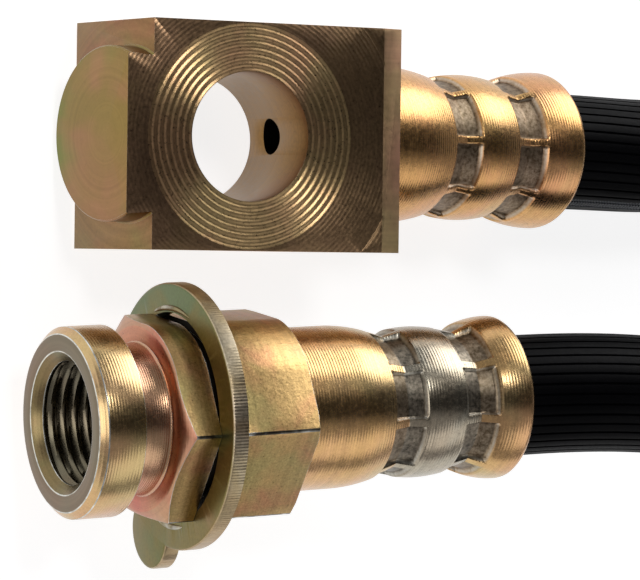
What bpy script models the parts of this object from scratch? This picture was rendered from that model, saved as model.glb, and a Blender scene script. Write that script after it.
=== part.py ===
"""Hydraulic brake hose: a block end for a banjo bolt, a threaded female end, and one rubber hose.

The block end lies on the flat back of its bar. The female end rests on the rim of its locating
plate, so its axis rises towards the hose. The hose leaves both ends side by side, comes down to
the floor and joins them in one wide loop.

World frame: +X along the block end's hose axis, +Z up, floor at Z = 0, and X = Y = 0 in the
middle of the two ends. The sizes below are measured from where the bolt bore crosses the hose
axis, and everything is moved to the origin together at the end.
"""

import math

import bmesh
import bpy
import numpy as np
from mathutils import Matrix, Vector

MM = 0.001

# Clearance between pieces that touch on the real hose
FIT = 0.3 * MM

# Block end, cut from rectangular bar that lies along the hose axis
BAR_HEIGHT = 19.05 * MM
BAR_THICKNESS = 15.24 * MM
BORE_TO_SHOULDER = 9.8 * MM
BORE_TO_SHELL = 13.2 * MM
BOSS_DIAMETER = 14.55 * MM
BOSS_LENGTH = 2.3 * MM
BORE_DIAMETER = 10.9 * MM
BORE_TILT = math.radians(11.1)
FRONT_SEAT_HEIGHT = 5.3 * MM
BACK_SEAT_DEPTH = 5.7 * MM
FRONT_FACING_DIAMETER = 32.0 * MM
BACK_FACING_DIAMETER = 20.0 * MM
CROSS_PORT_DIAMETER = 3.1 * MM
CROSS_PORT_ASIDE = 0.3 * MM
CROSS_PORT_DROP = 0.4 * MM

# Crimped shell, alike on both ends
SHELL_DIAMETER = 13.8 * MM
MIDDLE_BULGE_DIAMETER = 12.95 * MM
RIM_DIAMETER = 14.15 * MM
RIDGE_DIAMETER = 11.85 * MM
JAW_BITE = 0.42 * MM
JAW_COUNT = 8
JAW_GAP_SHARE = 0.3
BLOCK_JAW_ROLL = math.radians(4.5)
FEMALE_JAW_ROLL = math.radians(-13)
BAND_WIDTH = 2.6 * MM
BAND_FLANK = 0.5 * MM
LIP_LENGTH = 0.5 * MM
MOUTH_FLARE = 0.2 * MM
MOUTH_FLARE_LENGTH = 1.2 * MM
STEM_BACK_FROM_RIM = 1.0 * MM
SHELL_WALL = 0.95 * MM
SHELL_FLOOR = 2.0 * MM
STEM_DIAMETER = 3.8 * MM
PASSAGE_DIAMETER = 2.4 * MM

# Where the crimp bands fall, measured from the root of each shell
BLOCK_STATIONS = {
    "land": 3.2 * MM,
    "first_band": 9.2 * MM,
    "bulge": 12.85 * MM,
    "second_band": 16.7 * MM,
    "rim": 21.9 * MM,
}
FEMALE_STATIONS = {
    "land": 5.2 * MM,
    "first_band": 10.3 * MM,
    "bulge": 13.7 * MM,
    "second_band": 17.4 * MM,
    "rim": 21.6 * MM,
}

# Female end, turned from hexagon bar; lengths are measured from its mouth
COLLAR_DIAMETER = 15.75 * MM
COLLAR_LENGTH = 3.9 * MM
COLLAR_CHAMFER = 0.6 * MM
MOUTH_DIAMETER = 11.45 * MM
THREAD_BORE_DIAMETER = 10.1 * MM
THREAD_BORE_DEPTH = 13.0 * MM
SEAT_DIAMETER = 7.0 * MM
SEAT_NOSE_DIAMETER = 4.0 * MM
SEAT_HEIGHT = 1.5 * MM
CLIP_GROOVE_DIAMETER = 12.5 * MM
CLIP_GROOVE_WIDTH = 3.05 * MM
HEX_ACROSS_FLATS = 15.875 * MM
HEX_LENGTH = 12.3 * MM
HEX_FRONT_DIAMETER = 15.3 * MM
HEX_CHAMFER = 0.85 * MM
HEX_ROLL = math.radians(-9.1)

# Locating plate, stamped, with a round hole that the hexagon's corners bite into
PLATE_DIAMETER = 22.2 * MM
PLATE_THICKNESS = 1.35 * MM
PLATE_FROM_HEX_FACE = 3.1 * MM
PLATE_HOLE_DIAMETER = 17.3 * MM
TAB_DIAMETER = 6.4 * MM
TAB_REACH = 10.9 * MM
TAB_DIRECTION = math.radians(244.7)

# How the female end lies beside the block end
FEMALE_RISE = math.radians(9.47)
FEMALE_TURN = math.radians(2.65)
FEMALE_MOUTH_X = -17.4 * MM
FEMALE_MOUTH_Y = -23.75 * MM

# Hose, which leaves both shells square to their mouths
HOSE_DIAMETER = 10.5 * MM
HOSE_SQUARE_LENGTH = 4 * MM
HOSE_POINT_SPACING = 2.25 * HOSE_DIAMETER

AXIS_HEIGHT = BAR_THICKNESS / 2
HEX_FACE = COLLAR_LENGTH + CLIP_GROOVE_WIDTH
HEX_END = HEX_FACE + HEX_LENGTH
HEX_CORNER_RADIUS = HEX_ACROSS_FLATS / math.sqrt(3)
PLATE_FACE = HEX_FACE + PLATE_FROM_HEX_FACE
FEMALE_MOUTH_Z = (PLATE_DIAMETER / 2) * math.cos(FEMALE_RISE) - PLATE_FACE * math.sin(FEMALE_RISE)

BLOCK_FRAME = Matrix.Translation((0, 0, AXIS_HEIGHT))
FEMALE_FRAME = (
    Matrix.Translation((FEMALE_MOUTH_X, FEMALE_MOUTH_Y, FEMALE_MOUTH_Z))
    @ Matrix.Rotation(FEMALE_TURN, 4, "Z")
    @ Matrix.Rotation(-FEMALE_RISE, 4, "Y")
)

# The hose's route between its two straight stretches, chosen by hand, in millimetres
ROUTE = [
    (47, -0.1, 7.6),
    (55, 0.2, 7.4),
    (68.5, 2.4, 6.9),
    (85, 7.6, 6.1),
    (102, 14.4, 5.6),
    (119, 21.2, 5.5),
    (138, 26.2, 5.5),
    (157, 27.4, 5.5),
    (175.2, 23.2, 5.5),
    (190.1, 12.3, 5.5),
    (199.2, -3.2, 5.5),
    (201.3, -21.7, 5.5),
    (195.9, -38.8, 5.6),
    (183.9, -52.7, 5.8),
    (168.2, -60.6, 6.2),
    (148, -62, 6.9),
    (129, -58, 8.1),
    (112, -51.5, 9.8),
    (96, -42.8, 12),
    (80, -34.4, 14.4),
    (63.5, -27.1, 16.6),
    (48, -22.7, 17.8),
    (37, -21.65, 17.7),
]


def clear_scene():
    for item in list(bpy.data.objects):
        bpy.data.objects.remove(item, do_unlink=True)


def material(name, colour, roughness, metallic):
    made = bpy.data.materials.new(name)
    made.use_nodes = True
    shader = made.node_tree.nodes["Principled BSDF"]
    shader.inputs["Base Color"].default_value = (*colour, 1)
    shader.inputs["Roughness"].default_value = roughness
    shader.inputs["Metallic"].default_value = metallic
    return made


def add_object(name, mesh_data, finish=None):
    item = bpy.data.objects.new(name, mesh_data)
    bpy.context.scene.collection.objects.link(item)
    if finish:
        mesh_data.materials.append(finish)
    return item


def mesh_from(name, shape):
    bmesh.ops.recalc_face_normals(shape, faces=shape.faces)
    data = bpy.data.meshes.new(name)
    shape.to_mesh(data)
    shape.free()
    data.shade_smooth()
    data.set_sharp_from_angle(angle=math.radians(30))
    return data


def turned(name, profile, segments=48):
    """Spin a closed (x, radius) profile round the X axis."""
    shape = bmesh.new()
    ring = [shape.verts.new((x, 0, radius)) for x, radius in profile]
    edges = [shape.edges.new((a, b)) for a, b in zip(ring, ring[1:] + ring[:1])
             if a.co.z > 0 or b.co.z > 0]
    bmesh.ops.spin(shape, geom=ring + edges, cent=(0, 0, 0), axis=(1, 0, 0),
                   angle=math.tau, steps=segments, use_merge=True)
    bmesh.ops.remove_doubles(shape, verts=shape.verts, dist=0.000001)
    return mesh_from(name, shape)


def box(name, low, high):
    shape = bmesh.new()
    bmesh.ops.create_cube(shape, size=1)
    size = Vector(high) - Vector(low)
    middle = (Vector(high) + Vector(low)) / 2
    bmesh.ops.transform(shape, matrix=Matrix.Translation(middle) @ Matrix.Diagonal((*size, 1)),
                        verts=shape.verts)
    return mesh_from(name, shape)


def combine(target, tool, operation):
    """Add a Boolean to the target and keep its tool hidden."""
    tool.hide_render = True
    tool.display_type = "WIRE"
    step = target.modifiers.new(tool.name, "BOOLEAN")
    step.operation = operation
    step.solver = "EXACT"
    step.object = tool


def ease(amount):
    amount = min(max(amount, 0), 1)
    return amount * amount * (3 - 2 * amount)


def shell_outline(x, stations):
    """Radius of the shell over its crimp ridges, at x from its root: arches that meet in the bands."""
    arches = [
        ("land", "first_band", SHELL_DIAMETER),
        ("bulge", "first_band", MIDDLE_BULGE_DIAMETER),
        ("bulge", "second_band", MIDDLE_BULGE_DIAMETER),
        ("rim", "second_band", RIM_DIAMETER),
    ]
    for crest, band, diameter in arches:
        from_crest = x - stations[crest]
        span = stations[band] - stations[crest]
        if 0 <= from_crest / span <= 1:
            return (diameter - (diameter - RIDGE_DIAMETER) * (from_crest / span) ** 2) / 2
    return (SHELL_DIAMETER if x < stations["land"] else RIM_DIAMETER) / 2


def jaw_press(x, angle, stations):
    """Depth that the crimping jaws press the shell in, at x and at angle from a gap of theirs."""
    along = 0
    for name in ("first_band", "second_band"):
        past_edge = abs(x - stations[name]) - BAND_WIDTH / 2
        along = max(along, min(1, 1 - past_edge / BAND_FLANK))
    pitch = math.tau / JAW_COUNT
    from_gap = abs((angle + pitch / 2) % pitch - pitch / 2) / pitch
    round_jaw = ease((from_gap - JAW_GAP_SHARE / 4) / (JAW_GAP_SHARE / 3))
    pad_radius = RIDGE_DIAMETER / 2 - JAW_BITE
    return max(0, shell_outline(x, stations) - pad_radius) * along * round_jaw


def shell_rings(stations):
    """Distances from the root at which the shell's surface is built."""
    half_band = BAND_WIDTH / 2
    rings = [0, stations["land"]]
    land_to_band = stations["first_band"] - half_band - BAND_FLANK - stations["land"]
    rings += [stations["land"] + land_to_band * share for share in (0.25, 0.5, 0.75)]
    for name in ("first_band", "second_band"):
        centre = stations[name]
        outer = half_band + BAND_FLANK
        rings += [centre - outer, centre - half_band, centre, centre + half_band, centre + outer]
    bulge = stations["bulge"]
    rings += [bulge - 1.0 * MM, bulge, bulge + 1.0 * MM]
    flare = stations["second_band"] + half_band + BAND_FLANK
    rings += [flare + (stations["rim"] - flare) * share for share in (0.33, 0.66, 1)]
    return sorted(rings)


def crimped_shell(name, root, stations, jaw_roll, segments=64):
    """Solid outside of a crimped shell, with its root at x = root."""
    shape = bmesh.new()
    overlap = 1.0 * MM
    places = [(-overlap, 0)] + [(x, 0) for x in shell_rings(stations)]
    places.append((stations["rim"] + LIP_LENGTH, LIP_LENGTH))
    rings = []
    for x, inset in places:
        ring = []
        for step in range(segments):
            angle = math.tau * step / segments
            pressed = jaw_press(x, angle - jaw_roll, stations)
            radius = shell_outline(x, stations) - pressed - inset
            ring.append(shape.verts.new((root + x, radius * math.sin(angle),
                                         radius * math.cos(angle))))
        rings.append(ring)
    for before, after in zip(rings, rings[1:]):
        for step in range(segments):
            following = (step + 1) % segments
            shape.faces.new((before[step], before[following], after[following], after[step]))
    shape.faces.new(rings[0])
    shape.faces.new(list(reversed(rings[-1])))
    return mesh_from(name, shape)


def inner_radius(x, stations):
    """Inside of the shell: the hose's own room, or one wall under the pressed surface."""
    middle_of_jaw = math.pi / JAW_COUNT
    pressed = shell_outline(x, stations) - jaw_press(x, middle_of_jaw, stations)
    return min(HOSE_DIAMETER / 2 + FIT, pressed - SHELL_WALL)


def bore_profile(stations):
    """Inside of the shell as (x from root, radius), from its floor to its mouth."""
    band_half = BAND_WIDTH / 2
    flank_end = band_half + BAND_FLANK
    end = stations["rim"] + LIP_LENGTH
    places = [SHELL_FLOOR]
    for name in ("first_band", "second_band"):
        places += [stations[name] + offset for offset in (-flank_end, -band_half, band_half, flank_end)]
    places.append(stations["bulge"])
    places.append(end - MOUTH_FLARE_LENGTH)
    profile = [(x, inner_radius(x, stations)) for x in sorted(places)]
    return profile + [(end, inner_radius(end, stations) + MOUTH_FLARE)]


def shell_cavity(name, root, stations):
    """Cutter for the room between the shell and the stem."""
    inside = bore_profile(stations)
    stem_end = stations["rim"] - STEM_BACK_FROM_RIM
    stem = STEM_DIAMETER / 2
    profile = [(root + x, radius) for x, radius in inside]
    beyond = root + inside[-1][0] + MOUTH_FLARE_LENGTH
    profile += [(beyond, inside[-1][1] + MOUTH_FLARE), (beyond, 0)]
    profile += [(root + stem_end, 0), (root + stem_end, stem), (root + SHELL_FLOOR, stem)]
    return add_object(name, turned(name, profile))


def gripped_hose(name, root, stations, finish, frame):
    """The hose's end where the shell grips it on the stem."""
    inside = bore_profile(stations)
    start = SHELL_FLOOR + FIT
    end = stations["rim"] + LIP_LENGTH
    outside = [(max(x, start), radius - FIT) for x, radius in inside[:-1]]
    outside.append((end, HOSE_DIAMETER / 2 - FIT / 3))
    stem_end = stations["rim"] - STEM_BACK_FROM_RIM + FIT
    stem = STEM_DIAMETER / 2 + FIT
    profile = [(root + x, radius) for x, radius in outside]
    profile += [(root + end, 0), (root + stem_end, 0), (root + stem_end, stem), (root + start, stem)]
    item = add_object(name, turned(name, profile, 32), finish)
    item.matrix_world = frame
    return item


def bore_cutter(name, diameter, low, high, segments=48):
    """Cylinder on the bolt bore's axis, between two heights along it."""
    radius = diameter / 2
    data = turned(name, [(low, 0), (low, radius), (high, radius), (high, 0)], segments)
    tilt = Matrix.Rotation(-math.pi / 2 - BORE_TILT, 4, "Y")
    data.transform(tilt)
    return add_object(name, data)


def block_end(finish):
    """Block, boss and crimped shell, all one piece of bar."""
    low = (-BORE_TO_SHOULDER, -BAR_HEIGHT / 2, -BAR_THICKNESS / 2)
    high = (BORE_TO_SHELL, BAR_HEIGHT / 2, BAR_THICKNESS / 2)
    block = add_object("banjo_block_end", box("banjo_block_end", low, high), finish)
    boss = BOSS_DIAMETER / 2
    tip = -BORE_TO_SHOULDER - BOSS_LENGTH
    boss_profile = [(tip, 0), (tip, boss), (-BORE_TO_SHOULDER + 1 * MM, boss),
                    (-BORE_TO_SHOULDER + 1 * MM, 0)]
    shell = crimped_shell("block_shell", BORE_TO_SHELL, BLOCK_STATIONS, BLOCK_JAW_ROLL)
    additions = [
        add_object("turned_boss", turned("turned_boss", boss_profile, 60)),
        add_object("block_shell", shell),
    ]
    far = 20 * MM
    port = CROSS_PORT_DIAMETER / 2
    passage = PASSAGE_DIAMETER / 2
    port_end = BORE_TO_SHELL - 1 * MM
    way = BORE_TO_SHELL + BLOCK_STATIONS["rim"]
    port_data = turned("cross_port", [(0, 0), (0, port), (port_end, port), (port_end, 0)], 24)
    port_data.transform(Matrix.Translation((0, CROSS_PORT_ASIDE, -CROSS_PORT_DROP)))
    passage_profile = [(0, 0), (0, passage), (way, passage), (way, 0)]
    cuts = [
        bore_cutter("front_facing", FRONT_FACING_DIAMETER, FRONT_SEAT_HEIGHT, far, 72),
        bore_cutter("back_facing", BACK_FACING_DIAMETER, -far, -BACK_SEAT_DEPTH, 60),
        bore_cutter("bolt_bore", BORE_DIAMETER, -far, far),
        add_object("cross_port", port_data),
        add_object("block_passage", turned("block_passage", passage_profile, 24)),
        shell_cavity("block_cavity", BORE_TO_SHELL, BLOCK_STATIONS),
    ]
    for tool in additions:
        combine(block, tool, "UNION")
    for tool in cuts:
        combine(block, tool, "DIFFERENCE")
    for item in [block] + additions + cuts:
        item.matrix_world = BLOCK_FRAME
    return block


def hexagon(name, across_flats, start, end):
    """Hexagonal prism along X, rolled as the female end lies."""
    shape = bmesh.new()
    corner = across_flats / math.sqrt(3)
    rings = []
    for x in (start, end):
        rings.append([
            shape.verts.new((x, corner * math.sin(HEX_ROLL + math.tau * side / 6),
                             corner * math.cos(HEX_ROLL + math.tau * side / 6)))
            for side in range(6)
        ])
    for side in range(6):
        following = (side + 1) % 6
        shape.faces.new((rings[0][side], rings[0][following], rings[1][following], rings[1][side]))
    shape.faces.new(rings[0])
    shape.faces.new(list(reversed(rings[1])))
    return mesh_from(name, shape)


def female_end(finish):
    """Threaded collar, clip groove, hexagon and crimped shell, all one piece of hexagon bar."""
    corner = HEX_CORNER_RADIUS + 0.5 * MM
    slope = (HEX_CORNER_RADIUS - HEX_FRONT_DIAMETER / 2) / HEX_CHAMFER
    cone_end = HEX_FACE + (corner - HEX_FRONT_DIAMETER / 2) / slope
    body = add_object("female_threaded_end",
                      hexagon("female_threaded_end", HEX_ACROSS_FLATS, HEX_FACE, HEX_END), finish)
    nut_turning = turned("hex_turning", [
        (HEX_FACE - 1 * MM, 0), (HEX_FACE - 1 * MM, HEX_FRONT_DIAMETER / 2 - slope * 1 * MM),
        (cone_end, corner), (HEX_END - 0.4 * MM, corner),
        (HEX_END + 1 * MM, corner - 1.4 * MM * 1.6), (HEX_END + 1 * MM, 0)], 60)
    combine(body, add_object("hex_turning", nut_turning), "INTERSECT")
    collar = COLLAR_DIAMETER / 2
    groove = CLIP_GROOVE_DIAMETER / 2
    nose_profile = [(0, 0), (0, collar - COLLAR_CHAMFER), (COLLAR_CHAMFER, collar),
                    (COLLAR_LENGTH, collar), (COLLAR_LENGTH, groove), (HEX_FACE + 1 * MM, groove),
                    (HEX_FACE + 1 * MM, 0)]
    shell = crimped_shell("female_shell", HEX_END, FEMALE_STATIONS, FEMALE_JAW_ROLL)
    additions = [
        add_object("collar", turned("collar", nose_profile, 60)),
        add_object("female_shell", shell),
    ]
    mouth = MOUTH_DIAMETER / 2
    thread = THREAD_BORE_DIAMETER / 2
    seat_top = THREAD_BORE_DEPTH - SEAT_HEIGHT
    passage = PASSAGE_DIAMETER / 2
    way = HEX_END + FEMALE_STATIONS["rim"]
    port_profile = [(-1 * MM, 0), (-1 * MM, mouth + 1 * MM), (mouth - thread, thread),
                    (THREAD_BORE_DEPTH, thread), (THREAD_BORE_DEPTH, SEAT_DIAMETER / 2),
                    (seat_top, SEAT_NOSE_DIAMETER / 2), (seat_top, passage), (way, passage),
                    (way, 0)]
    cuts = [
        add_object("thread_bore", turned("thread_bore", port_profile, 48)),
        shell_cavity("female_cavity", HEX_END, FEMALE_STATIONS),
    ]
    for tool in additions:
        combine(body, tool, "UNION")
    for tool in cuts:
        combine(body, tool, "DIFFERENCE")
    for item in [body, bpy.data.objects["hex_turning"]] + additions + cuts:
        item.matrix_world = FEMALE_FRAME
    return body


def locating_plate(finish):
    """Round stamped plate with one tab, pressed over the hexagon."""
    back = PLATE_FACE + PLATE_THICKNESS
    radius = PLATE_DIAMETER / 2
    disc_profile = [(PLATE_FACE, 0), (PLATE_FACE, radius), (back, radius), (back, 0)]
    plate = add_object("locating_plate", turned("locating_plate", disc_profile, 72), finish)
    tab_radius = TAB_DIAMETER / 2
    tab_profile = [(PLATE_FACE, 0), (PLATE_FACE, tab_radius), (back, tab_radius), (back, 0)]
    tab_data = turned("tab", tab_profile, 40)
    offset = (0, TAB_REACH * math.sin(TAB_DIRECTION), TAB_REACH * math.cos(TAB_DIRECTION))
    tab_data.transform(Matrix.Translation(offset))
    hole = PLATE_HOLE_DIAMETER / 2
    hole_profile = [(PLATE_FACE - 1 * MM, 0), (PLATE_FACE - 1 * MM, hole), (back + 1 * MM, hole),
                    (back + 1 * MM, 0)]
    bite = hexagon("corner_bites", HEX_ACROSS_FLATS + 2 * FIT, PLATE_FACE - 2 * MM, back + 2 * MM)
    tools = [
        (add_object("tab", tab_data), "UNION"),
        (add_object("plate_hole", turned("plate_hole", hole_profile, 60)), "DIFFERENCE"),
        (add_object("corner_bites", bite), "DIFFERENCE"),
    ]
    for tool, operation in tools:
        combine(plate, tool, operation)
        tool.matrix_world = FEMALE_FRAME
    plate.matrix_world = FEMALE_FRAME
    return plate


def spline_through(points):
    """Smooth curve with continuous curvature through the points, as closely spaced samples."""
    knots = np.array(points, dtype=float)
    spans = np.linalg.norm(np.diff(knots, axis=0), axis=1)
    count = len(knots)
    matrix = np.zeros((count, count))
    right = np.zeros((count, 3))
    matrix[0, 0] = matrix[-1, -1] = 1
    right[0] = (knots[1] - knots[0]) / spans[0]
    right[-1] = (knots[-1] - knots[-2]) / spans[-1]
    for i in range(1, count - 1):
        before, after = spans[i - 1], spans[i]
        matrix[i, i - 1] = after
        matrix[i, i] = 2 * (before + after)
        matrix[i, i + 1] = before
        right[i] = 3 * (after * (knots[i] - knots[i - 1]) / before
                        + before * (knots[i + 1] - knots[i]) / after)
    slopes = np.linalg.solve(matrix, right)
    samples = []
    for i, span in enumerate(spans):
        for t in np.linspace(0, 1, 40, endpoint=False):
            a = (1 + 2 * t) * (1 - t) ** 2
            b = t * (1 - t) ** 2 * span
            c = t * t * (3 - 2 * t)
            d = t * t * (t - 1) * span
            samples.append(a * knots[i] + b * slopes[i] + c * knots[i + 1] + d * slopes[i + 1])
    samples.append(knots[-1])
    return np.array(samples)


def even_points(samples, spacing):
    """Points at an even spacing along the samples, both ends included."""
    steps = np.linalg.norm(np.diff(samples, axis=0), axis=1)
    travelled = np.concatenate([[0], np.cumsum(steps)])
    count = max(2, round(travelled[-1] / spacing) + 1)
    wanted = np.linspace(0, travelled[-1], count)
    return np.stack([np.interp(wanted, travelled, samples[:, k]) for k in range(3)], axis=1)


def out_of_shell(frame, root, stations):
    """Where the free hose starts at a shell's mouth, and where it may start to bend."""
    mouth = root + stations["rim"] + LIP_LENGTH + FIT
    return [tuple(frame @ Vector((mouth + x, 0, 0))) for x in (0, HOSE_SQUARE_LENGTH)]


def hose_line():
    """Centre line of the free hose, from the block end's mouth to the female end's."""
    start = out_of_shell(BLOCK_FRAME, BORE_TO_SHELL, BLOCK_STATIONS)
    finish = out_of_shell(FEMALE_FRAME, HEX_END, FEMALE_STATIONS)
    finish.reverse()
    route = [tuple(Vector(point) * MM) for point in ROUTE]
    between = even_points(spline_through(start + route + finish), HOSE_POINT_SPACING)
    return start + [tuple(point) for point in between[1:-1]] + finish


def hose(finish):
    """Free stretch of the hose, a plain round tube that meets each gripped end face to face."""
    points = hose_line()
    data = bpy.data.curves.new("hose", "CURVE")
    data.dimensions = "3D"
    data.bevel_depth = HOSE_DIAMETER / 2
    data.bevel_resolution = 4
    data.use_fill_caps = True
    line = data.splines.new("POLY")
    line.points.add(len(points) - 1)
    for target, point in zip(line.points, points):
        target.co = (*point, 1)
    return add_object("hose", data, finish)


def centre_between_ends(pieces):
    """Move everything so that the footprint of the two metal ends is centred on the origin."""
    graph = bpy.context.evaluated_depsgraph_get()
    corners = []
    for piece in pieces:
        evaluated = piece.evaluated_get(graph)
        corners += [evaluated.matrix_world @ vertex.co for vertex in evaluated.data.vertices]
    middle_x = (min(c.x for c in corners) + max(c.x for c in corners)) / 2
    middle_y = (min(c.y for c in corners) + max(c.y for c in corners)) / 2
    shift = Matrix.Translation((-middle_x, -middle_y, 0))
    for item in bpy.data.objects:
        item.matrix_world = shift @ item.matrix_world


def build():
    clear_scene()
    plating = material("yellow_chromate_plate", (0.52, 0.38, 0.17), 0.32, 1.0)
    female_plating = material("yellow_chromate_hex", (0.56, 0.42, 0.20), 0.32, 1.0)
    plate_finish = material("yellow_chromate_stamping", (0.48, 0.42, 0.20), 0.38, 1.0)
    rubber = material("black_cover_rubber", (0.012, 0.012, 0.013), 0.5, 0.0)
    block_rubber = material("rubber_in_block_shell", (0.02, 0.02, 0.021), 0.6, 0.0)
    female_rubber = material("rubber_in_female_shell", (0.02, 0.02, 0.021), 0.6, 0.0)
    block = block_end(plating)
    female = female_end(female_plating)
    plate = locating_plate(plate_finish)
    gripped_hose("gripped_hose_at_block", BORE_TO_SHELL, BLOCK_STATIONS, block_rubber, BLOCK_FRAME)
    gripped_hose("gripped_hose_at_female", HEX_END, FEMALE_STATIONS, female_rubber, FEMALE_FRAME)
    hose(rubber)
    centre_between_ends([block, female, plate])


build()
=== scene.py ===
"""Brake hose on a pale floor: block end, threaded female end, locating plate and rubber hose.

The metal ends are modelled again here in fine detail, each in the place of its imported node.
"""

import math

import bpy
import numpy as np
from mathutils import Matrix, Vector


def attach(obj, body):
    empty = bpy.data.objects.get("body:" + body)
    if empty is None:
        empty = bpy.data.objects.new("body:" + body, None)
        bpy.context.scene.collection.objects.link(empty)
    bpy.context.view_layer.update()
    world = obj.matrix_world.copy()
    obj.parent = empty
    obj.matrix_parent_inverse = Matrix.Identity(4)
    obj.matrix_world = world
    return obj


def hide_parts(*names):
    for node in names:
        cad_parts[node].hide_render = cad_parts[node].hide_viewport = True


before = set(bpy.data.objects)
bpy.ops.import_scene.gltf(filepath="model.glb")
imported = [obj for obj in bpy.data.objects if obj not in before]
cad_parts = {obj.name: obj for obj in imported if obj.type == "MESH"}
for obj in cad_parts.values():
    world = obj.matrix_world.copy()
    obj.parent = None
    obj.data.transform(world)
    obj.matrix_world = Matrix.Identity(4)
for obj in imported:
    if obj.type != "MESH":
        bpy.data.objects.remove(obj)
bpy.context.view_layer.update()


# The camera, a long lens that looks down on both ends from the side of the boss

SENSOR_WIDTH = 36
FOCAL_PIXELS = 3500
PICTURE_WIDTH = 640
CAMERA_PLACE = (-0.18789, 0.00316, 0.24319)
CAMERA_RIGHT = Vector((0.77802, 0.01378, 0.62808))
CAMERA_UP = Vector((-0.00539, 0.99987, -0.01526))

camera = bpy.data.objects.new("camera", bpy.data.cameras.new("camera"))
bpy.context.scene.collection.objects.link(camera)
bpy.context.scene.camera = camera
camera.data.sensor_width = SENSOR_WIDTH
camera.data.lens = FOCAL_PIXELS / PICTURE_WIDTH * SENSOR_WIDTH
camera.data.clip_start = 0.02
camera_back = CAMERA_RIGHT.cross(CAMERA_UP).normalized()
camera_turn = Matrix((CAMERA_RIGHT, CAMERA_UP, camera_back)).transposed()
camera.matrix_world = Matrix.Translation(CAMERA_PLACE) @ camera_turn.to_4x4()


# The studio: a pale floor, a large soft box low at the upper right, a small one overhead for the
# rings round the bore, weak ones at the left and on the near side, and a grey room with a dark
# strip across its ceiling.

ROOM_GREY = (0.33, 0.33, 0.34, 1)
STRIP_GREY = (0.022, 0.022, 0.023, 1)
FLOOR_GREY = (0.5, 0.5, 0.5, 1)
FLOOR_GLOW = 0.82


def add_node(tree, kind, inputs=None, **settings):
    made = tree.nodes.new(kind)
    for name, value in settings.items():
        setattr(made, name, value)
    for key, value in (inputs or {}).items():
        if isinstance(value, bpy.types.NodeSocket):
            tree.links.new(value, made.inputs[key])
        else:
            made.inputs[key].default_value = value
    return made


def maths(tree, operation, *values):
    inputs = dict(enumerate(values))
    return add_node(tree, "ShaderNodeMath", inputs, operation=operation).outputs[0]


def fades(tree, value, low, high):
    """0 below low, 1 above high and smooth between."""
    return add_node(tree, "ShaderNodeMapRange", {"Value": value, "From Min": low, "From Max": high},
                    interpolation_type="SMOOTHSTEP").outputs["Result"]


def blend(tree, share, first, second):
    """The first colour where share is 0, the second where it is 1."""
    return add_node(tree, "ShaderNodeMix", {"Factor": share, "A": first, "B": second},
                    data_type="RGBA").outputs["Result"]


def new_material(name):
    """A material with its nodes and the inputs of its shader."""
    made = bpy.data.materials.new(name)
    made.use_nodes = True
    return made, made.node_tree, made.node_tree.nodes["Principled BSDF"].inputs


def soft_box(name, place, target, size, watts):
    lamp = bpy.data.lights.new(name, "AREA")
    lamp.shape = "RECTANGLE"
    lamp.size, lamp.size_y = size
    lamp.energy = watts
    holder = bpy.data.objects.new(name, lamp)
    bpy.context.scene.collection.objects.link(holder)
    holder.location = place
    holder.rotation_euler = (Vector(target) - Vector(place)).to_track_quat("-Z", "Y").to_euler()


soft_box("key_box", (0.50, 0.56, 0.27), (0, 0, 0.01), (0.45, 0.52), 3.5)
soft_box("ring_box", (-0.13, 0.34, 0.70), (0, 0.01, 0.01), (0.16, 0.16), 1.0)
soft_box("left_box", (-0.74, 0.0, 0.20), (0, 0, 0.01), (0.4, 0.3), 1.0)
soft_box("near_box", (0.42, -0.55, 0.45), (0, 0, 0.01), (0.6, 0.4), 0.75)

room = bpy.data.worlds.new("room")
bpy.context.scene.world = room
room.use_nodes = True
tree = room.node_tree
direction = add_node(tree, "ShaderNodeTexCoord").outputs["Generated"]
heading = add_node(tree, "ShaderNodeSeparateXYZ", {"Vector": direction}).outputs
off_middle = maths(tree, "ABSOLUTE", maths(tree, "SUBTRACT", heading["Y"], 0.08))
in_strip = maths(tree, "SUBTRACT", 1.0, fades(tree, off_middle, 0.18, 0.44))
overhead = maths(tree, "MULTIPLY", fades(tree, heading["Z"], 0.35, 0.6),
                 fades(tree, heading["X"], -0.6, -0.35))
strip = maths(tree, "MULTIPLY", overhead, in_strip)
background = tree.nodes["Background"].inputs
background["Strength"].default_value = 1.0
tree.links.new(blend(tree, strip, ROOM_GREY, STRIP_GREY), background["Color"])

bpy.ops.object.select_all(action="DESELECT")
bpy.ops.mesh.primitive_plane_add(size=6, location=(0, 0, -0.0002))
floor = bpy.context.object
floor.name = "floor"
floor_paint, tree, shader = new_material("floor_paint")
shader["Base Color"].default_value = FLOOR_GREY
shader["Roughness"].default_value = 0.9
shader["Specular IOR Level"].default_value = 0.1
shader["Emission Color"].default_value = (1, 1, 1, 1)
rays = add_node(tree, "ShaderNodeLightPath").outputs
seen = maths(tree, "MAXIMUM", rays["Is Camera Ray"], rays["Is Glossy Ray"])
seen = maths(tree, "MAXIMUM", seen, rays["Is Transmission Ray"])
tree.links.new(maths(tree, "MULTIPLY", seen, FLOOR_GLOW), shader["Emission Strength"])
floor.data.materials.append(floor_paint)

bpy.context.scene.view_settings.view_transform = "Standard"


# The hose: a long moulded rubber tube, ribbed lengthwise, that leaves both shells side by side and
# lies on the floor in one wide loop. It is one piece with the ends that the shells grip. Its route
# is in millimetres from the spot on the floor below the middle of the bolt bore.

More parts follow.
